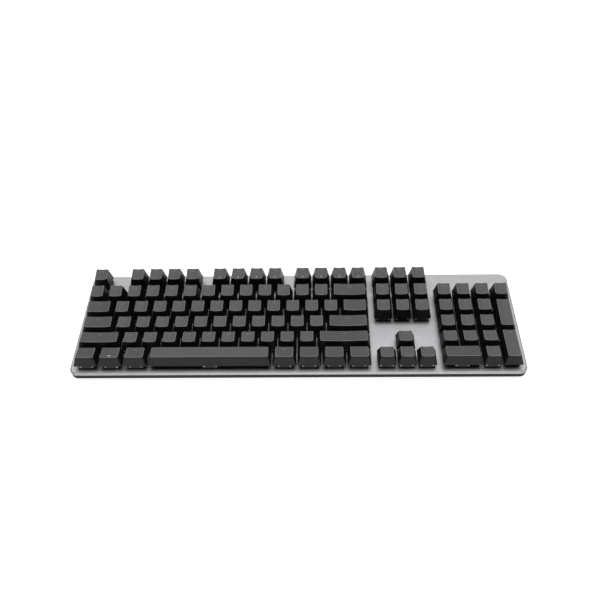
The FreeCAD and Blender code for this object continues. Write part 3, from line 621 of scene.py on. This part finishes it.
def add_stabiliser_stem(build, x, y, turned):
    half_x, half_y = (STAB_WIDE, STAB_NARROW) if turned else (STAB_NARROW, STAB_WIDE)
    build.block(x, y, half_x, half_y, STAB_LOW, SLIDER_HIGH, STAB_CHAMFER)
    add_cross(build, x, y)


def stems(node):
    build = Builder()
    for key in keys_on(node):
        add_slider(build, key.x, key.y)
        for x, y in key.stabilisers():
            add_stabiliser_stem(build, x, y, key.depth > UNIT)
    o = piece(f"stems_{node}", node, build, [FINISHES["switch_plastic"]])
    return o


# ---- springs and clips ----
def coil_spring(build, x, y):
    """A wire wound round the slider's pole, from the switch's floor to the slider."""
    count = SPRING_TURNS * SPRING_STEPS
    around = [math.tau * k / SPRING_SIDES for k in range(SPRING_SIDES)]
    rings = []
    for i in range(count + 1):
        a = math.tau * i / SPRING_STEPS
        out = Vector((math.cos(a), math.sin(a), 0))
        middle = Vector((x, y, SPRING_LOW + (SPRING_HIGH - SPRING_LOW) * i / count))
        rings.append(build.ring([middle + out * (SPRING_R + SPRING_WIRE_R * math.cos(b))
                                 + Vector((0, 0, SPRING_WIRE_R * math.sin(b))) for b in around]))
    for a, b in zip(rings, rings[1:]):
        build.bridge(a, b)
    build.face(rings[0][::-1])
    build.face(rings[-1])


def springs(node):
    """The coil springs of a node's switches, on the base."""
    build = Builder()
    for key in keys_on(node):
        coil_spring(build, key.x, key.y)
    o = piece(f"springs_{node}", "base", build, [FINISHES["spring_steel"]])
    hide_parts("switch_springs")
    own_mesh(o)


def add_clip(build, x, y, side):
    """The end of one clip, on the front or the back of a switch, coloured near white as a painted highlight."""
    corners = [(-CLIP_HALF_WIDTH, CLIP_OUTWARD), (CLIP_HALF_WIDTH, CLIP_OUTWARD),
               (CLIP_HALF_WIDTH, -CLIP_INWARD), (-CLIP_HALF_WIDTH, -CLIP_INWARD)][::-side]
    foot = [(x + dx, y + side * dy) for dx, dy in corners]
    head = [(x + (px - x) * CLIP_TAPER, y + (py - y) * CLIP_TAPER) for px, py in foot]
    low = build.ring([(px, py, CLIP_LOW) for px, py in foot])
    middle = build.ring([(px, py, CLIP_SHOULDER) for px, py in foot])
    high = build.ring([(px, py, CLIP_HIGH) for px, py in head])
    build.bridge(low, middle)
    build.bridge(middle, high)
    build.face(low[::-1])
    build.face(high)


def latches():
    """The ends of the clips that hold each switch's two halves together, coloured near white as painted
    highlights.
    """
    build = Builder()
    for key in KEYS:
        for side in (-1, 1):
            for x in (key.x - CLIP_X, key.x + CLIP_X):
                add_clip(build, x, key.y + side * CLIP_Y, side)
    o = piece("switch_latch_highlights", "base", build, [LATCH_PAINTED_HIGHLIGHT])


def keys():
    for node in sorted({k.node for k in KEYS}):
        o = stems(node)
        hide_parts(node)
        springs(node)
    for key in KEYS:
        cap(key)


# ---- floor, light, camera: lengths in metres, angles in degrees ----
CAMERA_AZIMUTH, CAMERA_HEIGHT_ANGLE, CAMERA_ROLL = 2.05, 45.03, -1.84
CAMERA_DISTANCE = 0.7455
CAMERA_TARGET = Vector((0.0019, 0.0285, 0.0188))
LENS_MM, SENSOR_MM = 43.24, 36
SKY_LEAN = 0.7  # towards the back
SKY_EDGE = (0.32, 0.92)  # how squarely a direction faces the sky's middle where it's darkest and brightest
SKY_RADIANCE = (0.03, 0.74)
FLOOR_HALF = 4
FLOOR_GLOW = 0.92
SOFTBOX_PLACE, SOFTBOX_SIZE, SOFTBOX_RADIANCE = Vector((0, 0.15, 1.6)), (2.2, 1.26), 1.58


def stage():
    mesh = bpy.data.meshes.new("floor")
    r = FLOOR_HALF
    mesh.from_pydata([(-r, -r, 0), (r, -r, 0), (r, r, 0), (-r, r, 0)], [], [(0, 1, 2, 3)])
    floor = bpy.data.objects.new("floor", mesh)
    bpy.context.scene.collection.objects.link(floor)
    m, tree, bsdf, where = shader("floor_paper")
    tree.links.new(ramp(tree, noise(tree, where, 400), grey(0.86), grey(0.88)), bsdf.inputs["Base Color"])
    bsdf.inputs["Emission Color"].default_value = (1, 1, 1, 1)
    bsdf.inputs["Emission Strength"].default_value = FLOOR_GLOW
    bsdf.inputs["Roughness"].default_value = 0.9
    bsdf.inputs["Specular IOR Level"].default_value = 0.0
    mesh.materials.append(m)


def sky():
    """A studio dome: bright overhead and to the back, dark low down at the front and sides."""
    world = bpy.data.worlds.new("studio")
    bpy.context.scene.world = world
    world.use_nodes = True
    tree = world.node_tree
    where = tree.nodes.new("ShaderNodeTexCoord").outputs["Generated"]
    lean = tree.nodes.new("ShaderNodeVectorMath")
    lean.operation = "DOT_PRODUCT"
    lean.inputs[1].default_value = Vector((0, SKY_LEAN, 1)).normalized()
    tree.links.new(where, lean.inputs[0])
    fade = tree.nodes.new("ShaderNodeMapRange")
    fade.interpolation_type = "SMOOTHSTEP"
    fade.inputs["From Min"].default_value, fade.inputs["From Max"].default_value = SKY_EDGE
    fade.inputs["To Min"].default_value, fade.inputs["To Max"].default_value = SKY_RADIANCE
    tree.links.new(lean.outputs["Value"], fade.inputs["Value"])
    background = tree.nodes["Background"]
    background.inputs["Color"].default_value = (1, 1, 1, 1)
    tree.links.new(fade.outputs["Result"], background.inputs["Strength"])


def softbox():
    """A wide soft light above the keyboard, aimed at its middle."""
    width, depth = SOFTBOX_SIZE
    light = bpy.data.lights.new("softbox", "AREA")
    light.shape, light.size, light.size_y = "RECTANGLE", width, depth
    light.energy = SOFTBOX_RADIANCE * math.pi * width * depth
    o = bpy.data.objects.new("softbox", light)
    o.location = SOFTBOX_PLACE
    o.rotation_euler = (-SOFTBOX_PLACE).to_track_quat("-Z", "Y").to_euler()
    bpy.context.scene.collection.objects.link(o)


def camera():
    az, up = math.radians(CAMERA_AZIMUTH), math.radians(CAMERA_HEIGHT_ANGLE)
    back = Vector((math.sin(az) * math.cos(up), -math.cos(az) * math.cos(up), math.sin(up)))
    data = bpy.data.cameras.new("camera")
    data.lens, data.sensor_width = LENS_MM, SENSOR_MM
    data.clip_start, data.clip_end = 0.01, 50
    o = bpy.data.objects.new("camera", data)
    roll = Matrix.Rotation(math.radians(CAMERA_ROLL), 4, "Z")
    turn = back.to_track_quat("Z", "Y").to_matrix().to_4x4() @ roll
    o.matrix_world = Matrix.Translation(CAMERA_TARGET + back * CAMERA_DISTANCE) @ turn
    bpy.context.scene.collection.objects.link(o)
    bpy.context.scene.camera = o


camera()
finish_cad_nodes()
keys()
latches()
stage()
sky()
softbox()
bpy.context.scene.view_settings.view_transform = "Standard"
